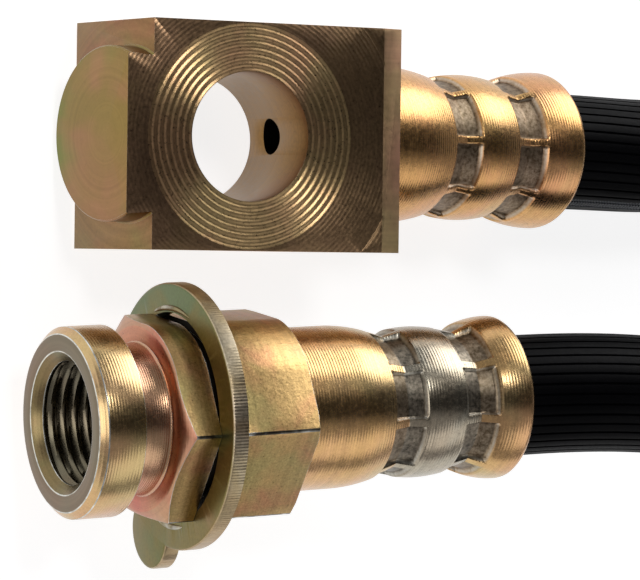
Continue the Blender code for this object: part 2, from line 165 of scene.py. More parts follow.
MM = 0.001
CENTRE = Vector((-8.4794, 13.3859, 0.0)) * MM
HOSE_DIAMETER = 10.5 * MM
STATION_SPACING = 1.6 * MM
RIB_COUNT = 36
RIB_GROOVE_DEPTH = 0.2 * MM
RIB_SECTION = [(0.0, 1.0), (0.06, 0.9), (0.12, 0.06), (0.3, 0.0), (0.7, 0.0), (0.88, 0.06),
               (0.94, 0.9)]
HOSE_TWIST = math.radians(-100)
MARKED_RIB = 29.6
MARK_WIDTH = 0.8
NOTCHES_PER_CENTIMETRE = 28
NOTCH_SLANT = 20
NOTCH_GREY = (0.30, 0.32, 0.35, 1)
HOSE_ROUTE = [
    (35.9, 0, 7.62),
    (39.9, 0, 7.62),
    (47, -0.1, 7.6),
    (55, 0.2, 7.4),
    (68.5, 2.4, 6.9),
    (85, 7.6, 6.1),
    (102, 14.4, 5.6),
    (119, 21.2, 5.5),
    (138, 26.2, 5.5),
    (157, 27.3, 5.5),
    (175.2, 23.2, 5.5),
    (190.1, 12.3, 5.5),
    (199.0, -3.2, 5.5),
    (201.1, -21.7, 5.5),
    (195.9, -38.8, 5.6),
    (183.9, -52.7, 5.8),
    (168.2, -60.4, 6.2),
    (148, -61.8, 6.9),
    (129, -58, 8.1),
    (112, -51.5, 9.8),
    (96, -42.8, 12),
    (80, -34.4, 14.4),
    (63.5, -27.1, 16.6),
    (48, -22.7, 17.7),
    (37, -21.65, 17.7),
    (27.58, -21.67, 16.81),
    (23.64, -21.85, 16.15),
]


def smooth_route(points, samples_per_span=40):
    """Curve of continuous curvature through the route's points, as close samples."""
    knots = np.array(points)
    spans = np.linalg.norm(np.diff(knots, axis=0), axis=1)
    count = len(knots)
    matrix = np.zeros((count, count))
    right = np.zeros((count, 3))
    matrix[0, 0] = matrix[-1, -1] = 1
    right[0] = (knots[1] - knots[0]) / spans[0]
    right[-1] = (knots[-1] - knots[-2]) / spans[-1]
    for i in range(1, count - 1):
        before, after = spans[i - 1], spans[i]
        matrix[i, i - 1:i + 2] = after, 2 * (before + after), before
        right[i] = 3 * (after * (knots[i] - knots[i - 1]) / before
                        + before * (knots[i + 1] - knots[i]) / after)
    slopes = np.linalg.solve(matrix, right)
    curve = []
    for i, span in enumerate(spans):
        for t in np.linspace(0, 1, samples_per_span, endpoint=False):
            curve.append((1 + 2 * t) * (1 - t) ** 2 * knots[i] + t * (1 - t) ** 2 * span * slopes[i]
                         + t * t * (3 - 2 * t) * knots[i + 1]
                         + t * t * (t - 1) * span * slopes[i + 1])
    return np.array(curve + [knots[-1]])


def even_stations(curve, spacing):
    steps = np.linalg.norm(np.diff(curve, axis=0), axis=1)
    travelled = np.concatenate([[0], np.cumsum(steps)])
    wanted = np.linspace(0, travelled[-1], round(travelled[-1] / spacing) + 1)
    places = np.stack([np.interp(wanted, travelled, curve[:, k]) for k in range(3)], axis=1)
    return places, wanted


def ribbed_section():
    """Angles and depths below the crest, once round the hose."""
    pitch = math.tau / RIB_COUNT
    return [((rib + share) * pitch, depth * RIB_GROOVE_DEPTH)
            for rib in range(RIB_COUNT) for share, depth in RIB_SECTION]


def hose_rings(places, section):
    """Points of the ribbed section at each station, turned a little more from one to the next."""
    side = Vector((0, 1, 0))
    points = []
    for i, place in enumerate(places):
        ahead = Vector(places[min(i + 1, len(places) - 1)] - places[max(i - 1, 0)]).normalized()
        side = (side - ahead * side.dot(ahead)).normalized()
        above = ahead.cross(side)
        twist = HOSE_TWIST * i / (len(places) - 1)
        for angle, depth in section:
            outwards = side * math.sin(angle + twist) + above * math.cos(angle + twist)
            points.append(Vector(place) + outwards * (HOSE_DIAMETER / 2 - depth))
    return points


def hose_skin(section, travelled):
    """Faces between the rings, and how far round and along the hose their corners are."""
    around = len(section)
    faces, strip = [], []
    for i in range(len(travelled) - 1):
        for k in range(around):
            following = (k + 1) % around
            a, b = i * around + k, i * around + following
            faces.append((a, b, b + around, a + around))
            near, far = section[k][0], section[following][0] if following else math.tau
            strip += [(near, travelled[i]), (far, travelled[i]), (far, travelled[i + 1]),
                      (near, travelled[i + 1])]
    faces.append(tuple(reversed(range(around))))
    faces.append(tuple(range((len(travelled) - 1) * around, len(travelled) * around)))
    strip += [(0, 0)] * (2 * around)
    return faces, strip


def ribbed_hose(name, route):
    """The hose, with a map that counts turns one way and centimetres the other."""
    places, travelled = even_stations(smooth_route(route), STATION_SPACING)
    section = ribbed_section()
    faces, strip = hose_skin(section, travelled)
    data = bpy.data.meshes.new(name)
    data.from_pydata(hose_rings(places, section), [], faces)
    layer = data.uv_layers.new(name="round_and_along")
    for corner, (angle, along) in zip(layer.data, strip):
        corner.uv = (angle / math.tau, along * 100)
    piece = bpy.data.objects.new(name, data)
    bpy.context.scene.collection.objects.link(piece)
    return piece, places


def activate(piece):
    bpy.ops.object.select_all(action="DESELECT")
    piece.select_set(True)
    bpy.context.view_layer.objects.active = piece


def outward(piece, smooth_angle=35):
    """Turn every face outwards and smooth the shading up to an angle."""
    activate(piece)
    bpy.ops.object.mode_set(mode="EDIT")
    bpy.ops.mesh.select_all(action="SELECT")
    bpy.ops.mesh.normals_make_consistent(inside=False)
    bpy.ops.object.mode_set(mode="OBJECT")
    bpy.ops.object.shade_smooth_by_angle(angle=math.radians(smooth_angle))


def cloud(tree, spot, scale, detail, roughness=0.5, distortion=0.0):
    """Noise between 0 and 1."""
    return add_node(tree, "ShaderNodeTexNoise", {
        "Vector": spot, "Scale": scale, "Detail": detail, "Roughness": roughness,
        "Distortion": distortion}).outputs["Fac"]


def notched(tree, tint, normal):
    """Colour and normal of rubber that has a row of pale slanted notches on one rib."""
    strip = add_node(tree, "ShaderNodeUVMap", uv_map="round_and_along").outputs["UV"]
    parts = add_node(tree, "ShaderNodeSeparateXYZ", {"Vector": strip}).outputs
    on_rib = maths(tree, "COMPARE", parts["X"], MARKED_RIB / RIB_COUNT, MARK_WIDTH / RIB_COUNT)
    along = maths(tree, "MULTIPLY", parts["Y"], NOTCHES_PER_CENTIMETRE * math.tau)
    phase = maths(tree, "ADD", along, maths(tree, "MULTIPLY", parts["X"], NOTCH_SLANT * math.tau))
    notch = maths(tree, "MULTIPLY", on_rib, maths(tree, "SINE", phase))
    cut = add_node(tree, "ShaderNodeBump", {"Height": notch, "Distance": 0.04 * MM,
                                            "Normal": normal})
    pale = maths(tree, "MULTIPLY", maths(tree, "MAXIMUM", notch, 0.0), 0.95)
    return blend(tree, pale, tint, NOTCH_GREY), cut.outputs["Normal"]


def dress(tree, shader, colour, gloss, normal):
    tree.links.new(colour, shader["Base Color"])
    tree.links.new(gloss, shader["Roughness"])
    tree.links.new(normal, shader["Normal"])


def rubber(name, colour, roughness, marked_rib=False):
    """Black rubber with a faint bloom and moulded grain."""
    made, tree, shader = new_material(name)
    shader["Specular IOR Level"].default_value = 0.025
    spot = add_node(tree, "ShaderNodeTexCoord").outputs["Object"]
    bloom = cloud(tree, spot, 260.0, 4.0)
    grain = cloud(tree, spot, 4200.0, 2.0)
    tint = blend(tree, bloom, (*[c * 0.5 for c in colour], 1), (*[c * 1.5 for c in colour], 1))
    gloss = maths(tree, "MULTIPLY_ADD", grain, 0.25, roughness - 0.12)
    normal = add_node(tree, "ShaderNodeBump", {"Height": grain, "Distance": 0.01 * MM,
                                               "Strength": 0.5}).outputs["Normal"]
    if marked_rib:
        tint, normal = notched(tree, tint, normal)
    dress(tree, shader, tint, gloss, normal)
    return made


cover_rubber = rubber("cover_rubber", (0.0012, 0.0012, 0.0016), 0.44, marked_rib=True)
hose_route = [CENTRE + Vector(point) * MM for point in HOSE_ROUTE]
hose, hose_line = ribbed_hose("ribbed_hose", hose_route)
hose.data.materials.append(cover_rubber)
outward(hose, 32)
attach(hose, "root")
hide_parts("hose")

gripped_rubber = rubber("gripped_rubber", (0.008, 0.008, 0.009), 0.6)
for name in ("gripped_hose_at_block", "gripped_hose_at_female"):
    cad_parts[name].data.materials.clear()
    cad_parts[name].data.materials.append(gripped_rubber)


# The plating on every metal piece: zinc with a yellow chromate film, which shows gold, rose and
# green patches over the lines that the lathe left. Each material sets its own colours and lines.

GOLD = (0.62, 0.41, 0.17)
ROSE = (0.68, 0.30, 0.20)
GREEN = (0.40, 0.44, 0.17)
SILVER = (0.66, 0.66, 0.62)
CRUSHED = (0.13, 0.11, 0.085)
RUBBED_EDGE = (0.5, 0.48, 0.42, 1)
GRAIN_PER_PATCH = 26.0
ROUND_LINE_RADIUS = 11 * MM


def group_socket(tree, name, kind, way):
    return tree.interface.new_socket(name=name, socket_type=kind, in_out=way)


def scaled(tree, colour, amount):
    return add_node(tree, "ShaderNodeVectorMath", {0: colour, "Scale": amount},
                    operation="SCALE").outputs[0]


def patches(tree, given, offset, low, high, amount):
    """Soft patches of a second colour, with their own offset so that two kinds lie apart."""
    moved = add_node(tree, "ShaderNodeVectorMath", {0: given["Vector"], 1: offset},
                     operation="ADD").outputs[0]
    noise = cloud(tree, moved, given["Patch Scale"], 3.0, 0.55, 0.4)
    return maths(tree, "MULTIPLY", fades(tree, noise, low, high), amount)


def chromate_film():
    """Colour of the film: gold with rose and green patches, fine mottling and dark specks."""
    tree = bpy.data.node_groups.new("chromate_film", "ShaderNodeTree")
    group_socket(tree, "Vector", "NodeSocketVector", "INPUT")
    for name in ("Gold", "Rose", "Green"):
        group_socket(tree, name, "NodeSocketColor", "INPUT")
    for name in ("Patch Scale", "Rose Amount", "Green Amount", "Mottle", "Specks"):
        group_socket(tree, name, "NodeSocketFloat", "INPUT")
    group_socket(tree, "Color", "NodeSocketColor", "OUTPUT")
    group_socket(tree, "Mottle", "NodeSocketFloat", "OUTPUT")
    given = tree.nodes.new("NodeGroupInput").outputs
    result = tree.nodes.new("NodeGroupOutput")
    rose = patches(tree, given, (0.3, 0.1, 0.2), 0.42, 0.66, given["Rose Amount"])
    green = patches(tree, given, (0.7, 0.5, 0.9), 0.44, 0.68, given["Green Amount"])
    colour = blend(tree, rose, given["Gold"], given["Rose"])
    colour = blend(tree, green, colour, given["Green"])
    grain_scale = maths(tree, "MULTIPLY", given["Patch Scale"], GRAIN_PER_PATCH)
    grain = cloud(tree, given["Vector"], grain_scale, 4.0, 0.65)
    swing = maths(tree, "MULTIPLY", maths(tree, "SUBTRACT", grain, 0.5), given["Mottle"])
    speck = add_node(tree, "ShaderNodeMapRange", {
        "Value": grain, "From Min": 0.30, "From Max": 0.36, "To Min": 1.0, "To Max": 0.0,
    }).outputs["Result"]
    clear = maths(tree, "SUBTRACT", 1.0, maths(tree, "MULTIPLY", speck, given["Specks"]))
    bright = maths(tree, "MULTIPLY", maths(tree, "ADD", swing, 1.0), clear)
    tree.links.new(scaled(tree, colour, bright), result.inputs["Color"])
    tree.links.new(grain, result.inputs["Mottle"])
    return tree


def tool_lines():
    """Grooves that repeat along a distance, uneven as a lathe leaves them, and their streaks."""
    tree = bpy.data.node_groups.new("tool_lines", "ShaderNodeTree")
    for name in ("Distance", "Pitch", "Unevenness"):
        group_socket(tree, name, "NodeSocketFloat", "INPUT")
    group_socket(tree, "Height", "NodeSocketFloat", "OUTPUT")
    group_socket(tree, "Streak", "NodeSocketFloat", "OUTPUT")
    given = tree.nodes.new("NodeGroupInput").outputs
    result = tree.nodes.new("NodeGroupOutput")
    turns = maths(tree, "DIVIDE", given["Distance"], given["Pitch"])
    wave = maths(tree, "SINE", maths(tree, "MULTIPLY", turns, math.tau))
    wave = maths(tree, "MULTIPLY", maths(tree, "ADD", wave, 1.0), 0.5)
    slow = add_node(tree, "ShaderNodeTexNoise", {
        "W": maths(tree, "MULTIPLY", turns, 0.31), "Scale": 1.0, "Detail": 3.0, "Roughness": 0.8,
    }, noise_dimensions="1D").outputs["Fac"]
    uneven = maths(tree, "MULTIPLY", slow, given["Unevenness"])
    even = maths(tree, "SUBTRACT", 1.0, given["Unevenness"])
    height = maths(tree, "ADD", maths(tree, "MULTIPLY", wave, even), uneven)
    tree.links.new(height, result.inputs["Height"])
    tree.links.new(slow, result.inputs["Streak"])
    return tree


FILM = chromate_film()
LINES = tool_lines()


def line_distance(tree, spot, lines):
    """How far along, out from or round the axis a spot is, for tool lines that repeat that way."""
    parts = add_node(tree, "ShaderNodeSeparateXYZ", {"Vector": spot}).outputs
    if lines == "along":
        return parts["X"]
    if lines == "round":
        turn = maths(tree, "ARCTAN2", parts["Y"], parts["Z"])
        return maths(tree, "MULTIPLY", turn, ROUND_LINE_RADIUS)
    squares = maths(tree, "ADD", maths(tree, "MULTIPLY", parts["Y"], parts["Y"]),
                    maths(tree, "MULTIPLY", parts["Z"], parts["Z"]))
    return maths(tree, "SQRT", squares)


def crushed(tree, tone, flat, mottle):
    """Darker, blotchy film where flat is 1, rubbed bright at the edge of the pad."""
    bruise = add_node(tree, "ShaderNodeMapRange", {
        "Value": mottle, "From Min": 0.35, "From Max": 0.65, "To Min": 0.3, "To Max": 1.9,
    }).outputs["Result"]
    tone = blend(tree, maths(tree, "MULTIPLY", flat, 0.85), tone, scaled(tree, CRUSHED, bruise))
    edge = maths(tree, "MULTIPLY", flat, maths(tree, "SUBTRACT", 1.0, flat))
    edge = maths(tree, "POWER", maths(tree, "MULTIPLY", edge, 4.0), 3.0)
    return blend(tree, maths(tree, "MULTIPLY", edge, mottle), tone, RUBBED_EDGE)


def press(tree, pads, tone, gloss, cut, mottle):
    """Crush the film, dull it and flatten the tool lines where pads, an attribute, is 1."""
    flat = add_node(tree, "ShaderNodeAttribute", attribute_name=pads).outputs["Fac"]
    gloss = maths(tree, "ADD", gloss, maths(tree, "MULTIPLY", flat, 0.15))
    depth = maths(tree, "SUBTRACT", 1.0, maths(tree, "MULTIPLY", flat, 0.8))
    tree.links.new(depth, cut.inputs["Strength"])
    return crushed(tree, tone, flat, mottle), gloss


def pitted(tree, spot, depth, normal):
    rough = cloud(tree, spot, 1500.0, 5.0, 0.7)
    return add_node(tree, "ShaderNodeBump", {"Height": rough, "Distance": depth,
                                             "Normal": normal}).outputs["Normal"]


def spread_shine(tree, shader, amount, world_spot, place, lines):
    """Stretch the highlights across the tool lines."""
    shader["Anisotropic"].default_value = amount
    outwards = add_node(tree, "ShaderNodeVectorMath", {0: world_spot, 1: place.translation},
                        operation="SUBTRACT").outputs[0]
    across = outwards if lines == "out" else tuple(place.col[0][:3])
    tangent = add_node(tree, "ShaderNodeVectorMath", {0: across}, operation="NORMALIZE")
    tree.links.new(tangent.outputs[0], shader["Tangent"])


def plating(name, place, gold=GOLD, rose=ROSE, green=GREEN, patch=120.0, rose_amount=0.5,
            green_amount=0.4, mottle=0.5, specks=0.12, roughness=0.3, lines="along", pitch=0.16,
            groove=3.0, unevenness=0.5, pits=0.0, brushed=0.0, pressed=""):
    """Chromate plating over tool lines that repeat along the axis, out from it or round it.

    place is the piece's own frame, with its axis on X. pitch is in millimetres, groove and pits
    in thousandths of one. brushed spreads the shine across the lines. pressed names an attribute
    that is 1 where a tool pressed the metal.
    """
    made, tree, shader = new_material(name)
    shader["Metallic"].default_value = 1.0
    world_spot = add_node(tree, "ShaderNodeTexCoord").outputs["Object"]
    spot = add_node(tree, "ShaderNodeMapping", {
        "Vector": world_spot, "Location": place.translation, "Rotation": place.to_euler(),
    }, vector_type="TEXTURE").outputs["Vector"]
    film = add_node(tree, "ShaderNodeGroup", {
        "Vector": spot, "Gold": (*gold, 1), "Rose": (*rose, 1), "Green": (*green, 1),
        "Patch Scale": patch, "Rose Amount": rose_amount, "Green Amount": green_amount,
        "Mottle": mottle, "Specks": specks}, node_tree=FILM).outputs
    turned = add_node(tree, "ShaderNodeGroup", {
        "Distance": line_distance(tree, spot, lines), "Pitch": pitch * MM,
        "Unevenness": unevenness}, node_tree=LINES).outputs
    streak = maths(tree, "MULTIPLY", maths(tree, "SUBTRACT", turned["Streak"], 0.5), 0.5)
    tone = scaled(tree, film["Color"], maths(tree, "ADD", streak, 1.0))
    gloss = maths(tree, "ADD", maths(tree, "MULTIPLY", film["Mottle"], 0.2), roughness - 0.1)
    cut = add_node(tree, "ShaderNodeBump", {"Height": turned["Height"],
                                            "Distance": groove * 0.001 * MM})
    normal = cut.outputs["Normal"]
    if pressed:
        tone, gloss = press(tree, pressed, tone, gloss, cut, film["Mottle"])
    if brushed:
        spread_shine(tree, shader, brushed, world_spot, place, lines)
    if pits:
        normal = pitted(tree, spot, pits * 0.001 * MM, normal)
    dress(tree, shader, tone, gloss, normal)
    return made


# The crimped shells: the thin skirt at the root of each metal end, which eight jaws press onto the
# hose in two bands. The jaws leave sunk pads with a raised rib between each two. Each end has its
# own frame with its axis on X, from the middle of the bolt bore or from the mouth of the port.

AXIS_HEIGHT = 7.62
MOUTH_PLACE = Vector((-17.4, -23.75, 9.2952))
FEMALE_TURN = math.radians(2.65)
FEMALE_TILT = math.radians(-9.47)
BLOCK_PLACE = Matrix.Translation(CENTRE + Vector((0, 0, AXIS_HEIGHT)) * MM)
FEMALE_PLACE = (Matrix.Translation(CENTRE + MOUTH_PLACE * MM)
                @ Matrix.Rotation(FEMALE_TURN, 4, "Z") @ Matrix.Rotation(FEMALE_TILT, 4, "Y"))
SHELL_RADIUS = 6.9
BULGE_RADIUS = 6.475
RIM_RADIUS = 7.06
RIM_WIDTH = 0.5
BAND_RADIUS = 5.925
PAD_RADIUS = 5.64
PAD_RISE = 0.6
JAWS = 8
PAD_SHARE = 0.84
BAND_HALF = 1.35
BAND_FLANK = 0.25
HOSE_ROOM = 5.42
ROOT_OVERLAP = 0.8
ROW_SPACING = 0.13
COLUMNS = 320
BLOCK_SHELL_START = 13.2
FEMALE_SHELL_START = 19.25
BLOCK_SHELL = {"land": 3.2, "first": 9.2, "bulge": 12.85, "second": 16.7, "rim": 21.9}
FEMALE_SHELL = {"land": 5.2, "first": 10.3, "bulge": 13.7, "second": 17.4, "rim": 21.6}


def ease(amount):
    amount = min(max(amount, 0), 1)
    return amount * amount * (3 - 2 * amount)


def shell_radius(x, stations):
    """Radius over the ribs: three arches that meet in the two bands."""
    arches = [("land", "first", SHELL_RADIUS), ("bulge", "first", BULGE_RADIUS),
              ("bulge", "second", BULGE_RADIUS), ("rim", "second", RIM_RADIUS)]
    for crest, band, radius in arches:
        share = (x - stations[crest]) / (stations[band] - stations[crest])
        if 0 <= share <= 1:
            return radius - (radius - BAND_RADIUS) * share ** 2
    return SHELL_RADIUS if x < stations["land"] else RIM_RADIUS


def pad_share(x, angle, stations):
    """1 on a jaw's pad and 0 off it, at x and at an angle from a rib's middle."""
    along = max(ease(1 - (abs(x - stations[band]) - BAND_HALF) / BAND_FLANK)
                for band in ("first", "second"))
    pitch = math.tau / JAWS
    from_rib = abs((angle + pitch / 2) % pitch - pitch / 2) / pitch
    rib = (1 - PAD_SHARE) / 2
    return along * ease((from_rib - rib + 0.02) / 0.045)


def shell_outline(stations):
    """Points (x, radius, reached by the jaws) from the root to the rim, then back over the hose."""
    rows = list(np.arange(-ROOT_OVERLAP, stations["rim"], ROW_SPACING)) + [stations["rim"]]
    end = stations["rim"] + RIM_WIDTH
    inside = [(end - 0.3, RIM_RADIUS - 0.03), (end - 0.08, RIM_RADIUS - 0.2),
              (end, RIM_RADIUS - 0.5), (end, HOSE_ROOM + 0.25), (end - 0.15, HOSE_ROOM + 0.05),
              (end - 4, HOSE_ROOM - 0.3), (end - 4, 3.0), (-ROOT_OVERLAP, 3.0)]
    return ([(x, shell_radius(x, stations), True) for x in rows]
            + [(x, radius, False) for x, radius in inside])


def crimped_shell(name, place, root, stations, roll):
    """Skirt that starts at root along the axis, with a rib at the angle of roll."""
    outline = shell_outline(stations)
    points, faces, shares = [], [], []
    for x, radius, outer in outline:
        pad = PAD_RADIUS + PAD_RISE * (radius - BAND_RADIUS)
        for k in range(COLUMNS):
            angle = math.tau * k / COLUMNS
            share = pad_share(x, angle - roll, stations) if outer else 0
            sunk = radius - max(0, radius - pad) * share
            points.append(place @ (Vector((root + x, sunk * math.sin(angle),
                                           sunk * math.cos(angle))) * MM))
            shares.append(share)
    for i in range(len(outline)):
        ring, next_ring = i * COLUMNS, (i + 1) % len(outline) * COLUMNS
        for k in range(COLUMNS):
            following = (k + 1) % COLUMNS
            faces.append((ring + k, ring + following, next_ring + following, next_ring + k))
    data = bpy.data.meshes.new(name)
    data.from_pydata(points, [], faces)
    data.attributes.new("pressed", "FLOAT", "POINT").data.foreach_set("value", shares)
    piece = bpy.data.objects.new(name, data)
    bpy.context.scene.collection.objects.link(piece)
    outward(piece, 40)
    return piece


block_shell = crimped_shell("block_shell", BLOCK_PLACE, BLOCK_SHELL_START, BLOCK_SHELL,
                            math.radians(4.5))
block_shell.data.materials.append(plating(
    "block_shell_plating", BLOCK_PLACE, gold=(0.56, 0.31, 0.12), rose=(0.58, 0.27, 0.15),
    green=(0.42, 0.35, 0.14), rose_amount=0.6, green_amount=0.4, pitch=0.27, groove=18.0,
    roughness=0.27, mottle=0.9, specks=0.25, brushed=0.4, pressed="pressed"))
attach(block_shell, "root")
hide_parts("banjo_block_end")

female_shell = crimped_shell("female_shell", FEMALE_PLACE, FEMALE_SHELL_START, FEMALE_SHELL,
                             math.radians(-13))
female_shell.data.materials.append(plating(
    "female_shell_plating", FEMALE_PLACE, gold=(0.54, 0.33, 0.14), rose=(0.56, 0.30, 0.18),
    green=(0.42, 0.38, 0.19), rose_amount=0.5, green_amount=0.5, pitch=0.27, groove=15.0,
    roughness=0.26, mottle=0.8, specks=0.2, brushed=0.4, pressed="pressed"))
female_shell.data.materials.append(plating(
    "worn_bulge", FEMALE_PLACE, gold=(0.36, 0.31, 0.23), rose=(0.38, 0.30, 0.22),
    green=(0.28, 0.29, 0.25), rose_amount=0.5, green_amount=0.7, pitch=0.27, groove=15.0,
    roughness=0.26, mottle=1.0, specks=0.3, brushed=0.4, pressed="pressed"))
to_female = FEMALE_PLACE.inverted()
for face in female_shell.data.polygons:
    along = (to_female @ face.center).x / MM - FEMALE_SHELL_START
    face.material_index = FEMALE_SHELL["first"] < along < FEMALE_SHELL["second"]
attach(female_shell, "root")
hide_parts("female_threaded_end")


# The block end: a length of rectangular bar, turned at one end to a boss and at the other to the
# shell, then faced and bored for a banjo bolt. The faces lean over the hose, and the washer seat
# round the bore has coarse concentric serrations.

BAR_HEIGHT = 19.05
BAR_THICKNESS = 15.24
SHOULDER = -9.8
BOSS_RADIUS = 7.275
BOSS_END = -12.1
BORE_RADIUS = 5.45
BORE_LEAN = math.radians(11.1)
DRILL_MARK = -1.5
FRONT_SEAT = 5.3
BACK_SEAT = -5.7
FACING_RADIUS = 16.0
TOOL_CIRCLE_RADIUS = 14.2
TOOL_CIRCLE_DEPTH = 0.025
BACK_FACING_RADIUS = 10.0
SERRATION_PITCH = 0.57
SERRATION_DEPTH = 0.065
SERRATION_RADIUS = 9.435
STEPS_PER_SERRATION = 8
CROSS_PORT_RADIUS = 1.55
CROSS_PORT_LENGTH = 12.4
CROSS_PORT_OFFSET = (0, 0.3 * MM, -0.45 * MM)
OUTSIDE = 30
MERGE_DISTANCE = 0.001 * MM

BORE_PLACE = BLOCK_PLACE @ Matrix.Rotation(-math.pi / 2 - BORE_LEAN, 4, "Y")


def settle(piece, place):
    """Set a finished piece in its place and leave its object at the origin."""
    activate(piece)
    piece.matrix_world = place
    bpy.ops.object.transform_apply(location=True, rotation=True, scale=True)


def lathe(name, outline, steps=192):
    """Turn an outline of (x, radius) in millimetres round the X axis."""
    bpy.ops.object.select_all(action="DESELECT")
    bpy.ops.mesh.primitive_plane_add(size=0.001)
    piece = bpy.context.object
    piece.name = piece.data.name = name
    bpy.ops.object.mode_set(mode="EDIT")
    bpy.ops.mesh.select_all(action="SELECT")
    bpy.ops.mesh.merge(type="CENTER")
    path = [Vector((x, 0, radius)) * MM for x, radius in outline]
    bpy.ops.transform.translate(value=path[0])
    for before, after in zip(path, path[1:]):
        bpy.ops.mesh.extrude_region_move(TRANSFORM_OT_translate={"value": after - before})
    bpy.ops.mesh.select_all(action="SELECT")
    bpy.ops.mesh.spin(steps=steps, angle=math.tau, center=(0, 0, 0), axis=(1, 0, 0))
    bpy.ops.mesh.select_all(action="SELECT")
    bpy.ops.mesh.remove_doubles(threshold=0.000002)
    bpy.ops.mesh.normals_make_consistent(inside=False)
    bpy.ops.object.mode_set(mode="OBJECT")
    return piece


def rod(start, end, radius):
    """Outline of a plain round rod for the lathe."""
    return [(start, 0), (start, radius), (end, radius), (end, 0), (start, 0)]


def cut_block(name, low, high):
    bpy.ops.object.select_all(action="DESELECT")
    bpy.ops.mesh.primitive_cube_add(size=1)
    piece = bpy.context.object
    piece.name = piece.data.name = name
    bpy.ops.object.mode_set(mode="EDIT")
    bpy.ops.mesh.select_all(action="SELECT")
    size = (Vector(high) - Vector(low)) * MM
    bpy.ops.transform.resize(value=size)
    bpy.ops.transform.translate(value=(Vector(high) + Vector(low)) / 2 * MM)
    bpy.ops.object.mode_set(mode="OBJECT")
    return piece


def work(piece, tool, operation):
    """Join, cut or trim a piece with a tool, which leaves its own finish on the new faces.

    Corners that the cut leaves on top of each other are merged, so that the piece stays closed.
    """
    activate(piece)
    step = piece.modifiers.new("work", "BOOLEAN")
    step.operation = operation
    step.solver = "EXACT"
    step.material_mode = "TRANSFER"
    step.object = tool
    bpy.ops.object.modifier_apply(modifier=step.name)
    bpy.data.objects.remove(tool)
    bpy.ops.object.mode_set(mode="EDIT")
    bpy.ops.mesh.select_all(action="SELECT")
    bpy.ops.mesh.remove_doubles(threshold=MERGE_DISTANCE)
    bpy.ops.object.mode_set(mode="OBJECT")


def break_edges(piece, width, finish, angle):
    """Take the sharp corner off every edge that turns by more than angle, as deburring does."""
    activate(piece)
    step = piece.modifiers.new("deburr", "BEVEL")
    step.width = width * MM
    step.segments = 2
    step.limit_method = "ANGLE"
    step.angle_limit = math.radians(angle)
    step.use_clamp_overlap = True
    piece.data.materials.append(finish)
    step.material = len(piece.data.materials) - 1
    bpy.ops.object.modifier_apply(modifier=step.name)


def finish_of(tool, finish):
    tool.data.materials.append(finish)
    return tool


def paint(piece, finish, chosen):
    """Give a finish to the faces whose middle is chosen by its x and radius in millimetres."""
    piece.data.materials.append(finish)
    for face in piece.data.polygons:
        x, y, z = face.center / MM
        if chosen(x, math.hypot(y, z)):
            face.material_index = len(piece.data.materials) - 1


bar_skin = plating("bar_skin", BLOCK_PLACE, gold=(0.48, 0.33, 0.17), rose=(0.52, 0.27, 0.18),
                   green=(0.36, 0.36, 0.17), rose_amount=0.9, green_amount=0.2, patch=90.0,
                   mottle=0.35, roughness=0.44, lines="out", pitch=0.35, groove=1.0)
shoulder_skin = plating("shoulder_skin", BLOCK_PLACE, gold=(0.25, 0.15, 0.065),
                        rose=(0.28, 0.12, 0.07), green=(0.19, 0.17, 0.06), rose_amount=0.8,
                        green_amount=0.5, patch=140.0, mottle=0.5, roughness=0.34, lines="out",
                        pitch=0.35, groove=2.0)
boss_skin = plating("boss_skin", BLOCK_PLACE, gold=(0.25, 0.17, 0.055), rose=(0.34, 0.17, 0.09),
                    rose_amount=0.8, green=(0.16, 0.20, 0.045), green_amount=0.9, patch=110.0,
                    mottle=0.25, specks=0.04, roughness=0.33, lines="out", pitch=0.4, groove=0.3,
                    unevenness=0.7)
milled_face = plating("milled_face", BORE_PLACE, gold=(0.33, 0.21, 0.11), rose=(0.33, 0.19, 0.12),
                      rose_amount=0.5, green_amount=0.0, patch=150.0, mottle=0.9, specks=0.3,
                      roughness=0.32, lines="out", pitch=0.36, groove=16.0, unevenness=0.5,
                      brushed=0.7)
ring_skin = plating("ring_skin", BORE_PLACE, gold=(0.54, 0.37, 0.18), rose_amount=0.3,
                    green_amount=0.1, patch=150.0, mottle=0.8, specks=0.3, roughness=0.30,
                    lines="out", pitch=0.14, groove=2.0, brushed=0.8)
# The bore's wall has the plating's warm brown, darkened as painted shade inside the bore.
bore_painted_shade = plating("bore_painted_shade", BORE_PLACE, gold=(0.25, 0.135, 0.04), rose=(0.25, 0.11, 0.045),
                    rose_amount=0.5, green_amount=0.0, patch=100.0, mottle=0.8, roughness=0.36,
                    pitch=0.3, groove=4.0)
bore_rear = plating("bore_rear", BORE_PLACE, gold=(0.46, 0.22, 0.10), rose=(0.46, 0.17, 0.10),
                    rose_amount=0.8, green_amount=0.0, patch=100.0, mottle=0.8, roughness=0.36,
                    pitch=0.25, groove=3.0)
worn_edge = plating("worn_edge", BLOCK_PLACE, gold=SILVER, rose=(0.6, 0.52, 0.36),
                    green=(0.2, 0.2, 0.18), rose_amount=0.4, green_amount=0.7, patch=900.0,
                    roughness=0.3, groove=0.5)
# Near black: painted shade inside the cross port, and painted shadow in the relief round the
# hexagon.
painted_shade_hole = plating("painted_shade_hole", BLOCK_PLACE, gold=(0.03, 0.025, 0.02), rose_amount=0.0,
                    green_amount=0.0, roughness=0.6)

